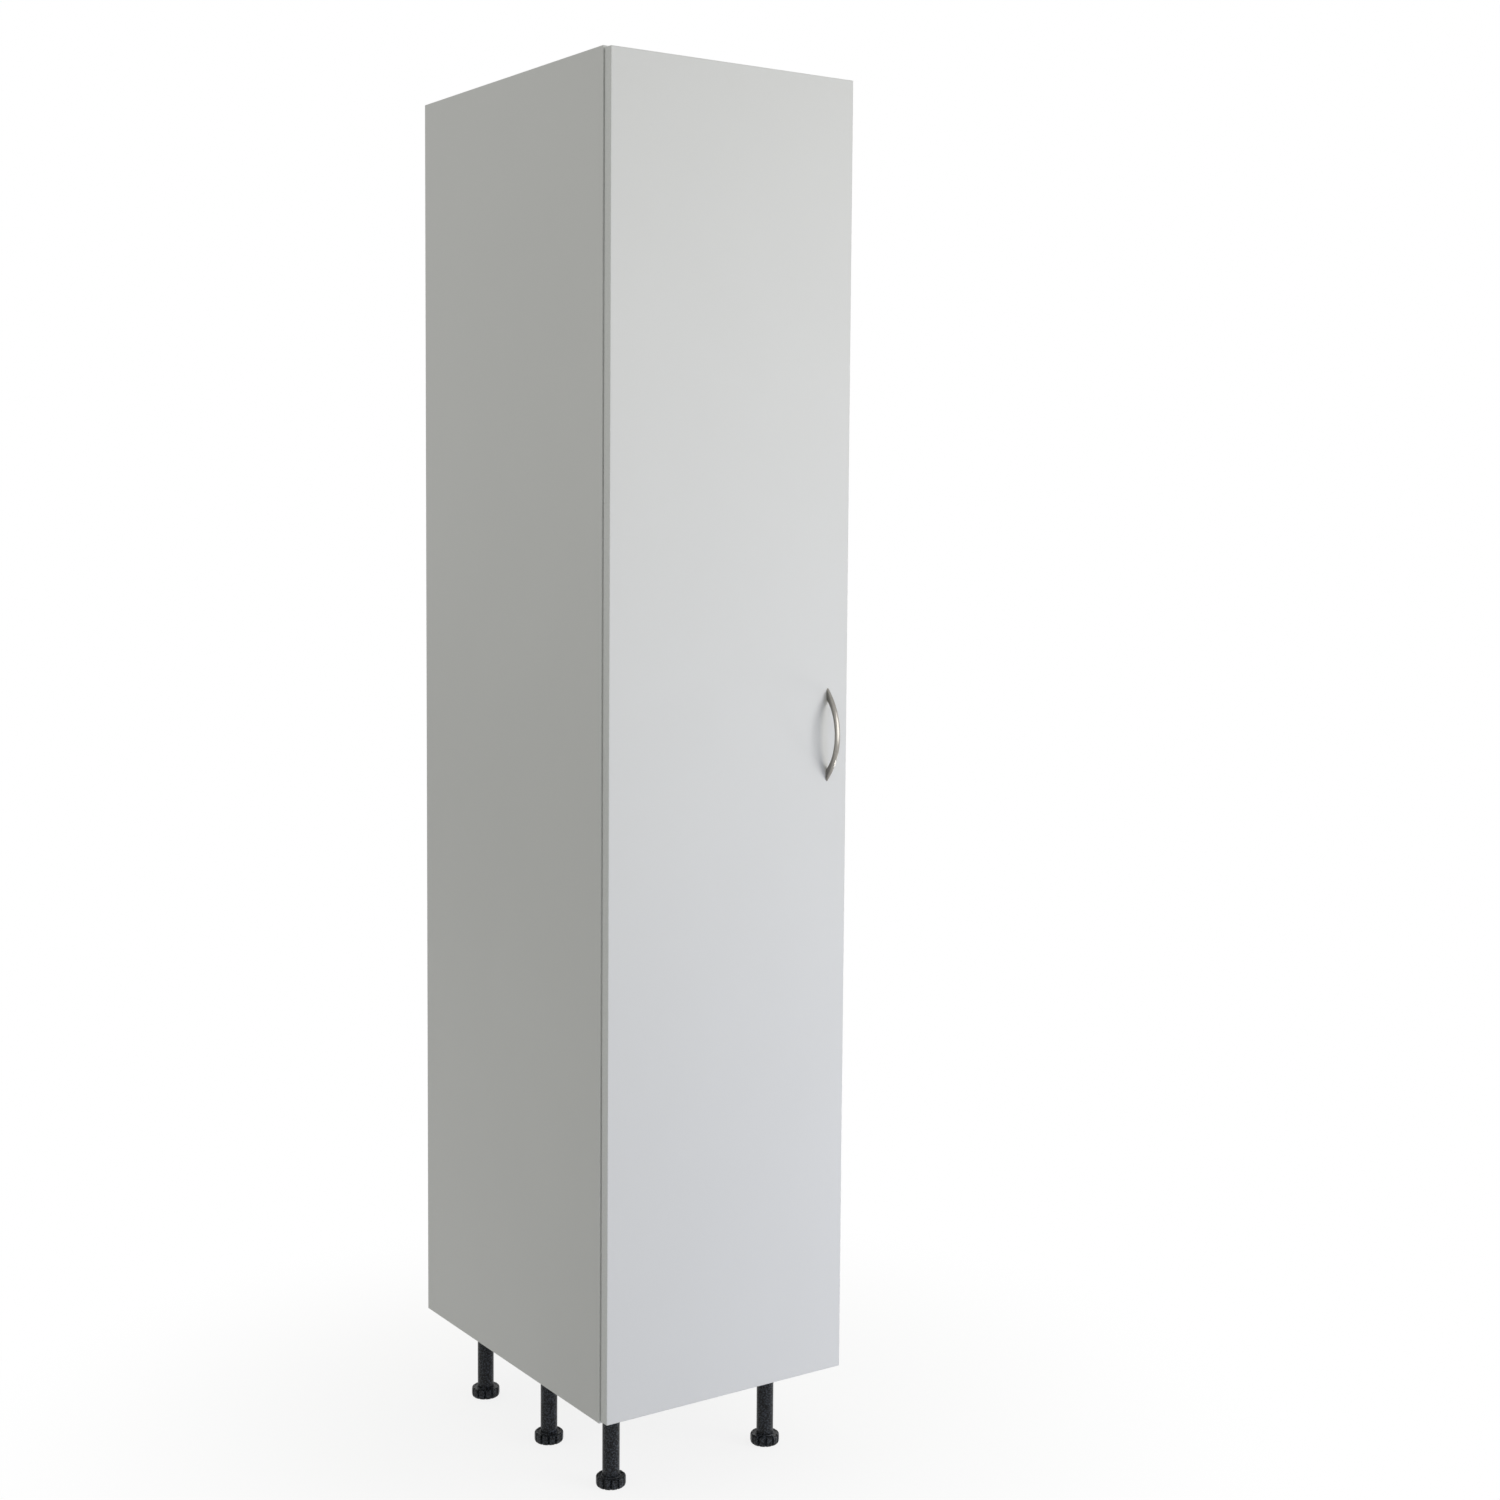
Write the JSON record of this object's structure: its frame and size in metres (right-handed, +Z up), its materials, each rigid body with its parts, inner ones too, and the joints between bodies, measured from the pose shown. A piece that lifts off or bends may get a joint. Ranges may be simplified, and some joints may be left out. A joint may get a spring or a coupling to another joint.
{
  "type": "broom cupboard",
  "caption": "Tall free-standing broom cupboard with a full-height door on concealed hinges, a bow handle, a fixed upper shelf and adjustable legs.",
  "frame": {"origin": "on the floor, in the middle of the overall width and depth, handle included", "axes": "+X to the right as seen from the front, +Y to the back, +Z up; the door faces -Y"},
  "size_m": [0.45, 0.65, 2.25],
  "materials": {
    "white_melamine": "white melamine, matt",
    "white_fibreboard": "white faced fibreboard",
    "beech": "bare beech",
    "zinc_plated_steel": "bright zinc",
    "satin_nickel": "satin nickel",
    "black_plastic": "black, fine texture",
    "clear_buffer": "translucent, soft"
  },
  "bodies": {
    "carcass": {"side_panel_left": "white_melamine", "side_panel_right": "white_melamine", "top_panel": "white_melamine", "bottom_panel": "white_melamine", "fixed_shelf": "white_melamine", "back_panel": "white_fibreboard", "rear_rail_top": "white_melamine", "rear_rail_middle": "white_melamine", "rear_rail_bottom": "white_melamine", "side_edge_bands": "white_melamine", "cross_edge_bands": "white_melamine", "wooden_dowels": "beech", "cam_bolts": "zinc_plated_steel", "cam_locks": "zinc_plated_steel", "hinge_plate_screws": "zinc_plated_steel", "hinge_arm_screws": "zinc_plated_steel", "leg_socket_screws": "zinc_plated_steel", "hinge_plate_1": "satin_nickel", "hinge_arm_1": "satin_nickel", "hinge_plate_2": "satin_nickel", "hinge_arm_2": "satin_nickel", "hinge_plate_3": "satin_nickel", "hinge_arm_3": "satin_nickel", "hinge_plate_4": "satin_nickel", "hinge_arm_4": "satin_nickel", "hinge_plate_5": "satin_nickel", "hinge_arm_5": "satin_nickel", "leg_socket_front_left": "black_plastic", "leg_tube_front_left": "black_plastic", "leg_socket_front_right": "black_plastic", "leg_tube_front_right": "black_plastic", "leg_socket_middle_left": "black_plastic", "leg_tube_middle_left": "black_plastic", "leg_socket_middle_right": "black_plastic", "leg_tube_middle_right": "black_plastic", "leg_socket_rear_left": "black_plastic", "leg_tube_rear_left": "black_plastic", "leg_socket_rear_right": "black_plastic", "leg_tube_rear_right": "black_plastic"},
    "door": {"door_panel": "white_melamine", "door_edge_bands": "white_melamine", "bow_handle": "satin_nickel", "handle_screws": "zinc_plated_steel", "door_bumpers": "clear_buffer", "hinge_pins": "satin_nickel", "hinge_cup_screws": "zinc_plated_steel", "hinge_cup_1": "satin_nickel", "hinge_cup_2": "satin_nickel", "hinge_cup_3": "satin_nickel", "hinge_cup_4": "satin_nickel", "hinge_cup_5": "satin_nickel"},
    "front_left_foot": {"foot_front_left": "black_plastic"},
    "front_right_foot": {"foot_front_right": "black_plastic"},
    "middle_left_foot": {"foot_middle_left": "black_plastic"},
    "middle_right_foot": {"foot_middle_right": "black_plastic"},
    "rear_left_foot": {"foot_rear_left": "black_plastic"},
    "rear_right_foot": {"foot_rear_right": "black_plastic"}
  },
  "joints": [
    {"name": "door_hinge", "type": "hinge", "parent": "carcass", "child": "door", "pos_m": [-0.2168, -0.2872, 1.2], "axis": [0, 0, -1], "range_deg": [0, 100]},
    {"name": "front_left_foot_thread", "type": "slide", "parent": "carcass", "child": "front_left_foot", "axis": [0, 0, -1], "range_m": [0, 0.025]},
    {"name": "front_right_foot_thread", "type": "slide", "parent": "carcass", "child": "front_right_foot", "axis": [0, 0, -1], "range_m": [0, 0.025]},
    {"name": "middle_left_foot_thread", "type": "slide", "parent": "carcass", "child": "middle_left_foot", "axis": [0, 0, -1], "range_m": [0, 0.025]},
    {"name": "middle_right_foot_thread", "type": "slide", "parent": "carcass", "child": "middle_right_foot", "axis": [0, 0, -1], "range_m": [0, 0.025]},
    {"name": "rear_left_foot_thread", "type": "slide", "parent": "carcass", "child": "rear_left_foot", "axis": [0, 0, -1], "range_m": [0, 0.025]},
    {"name": "rear_right_foot_thread", "type": "slide", "parent": "carcass", "child": "rear_right_foot", "axis": [0, 0, -1], "range_m": [0, 0.025]}
  ]
}
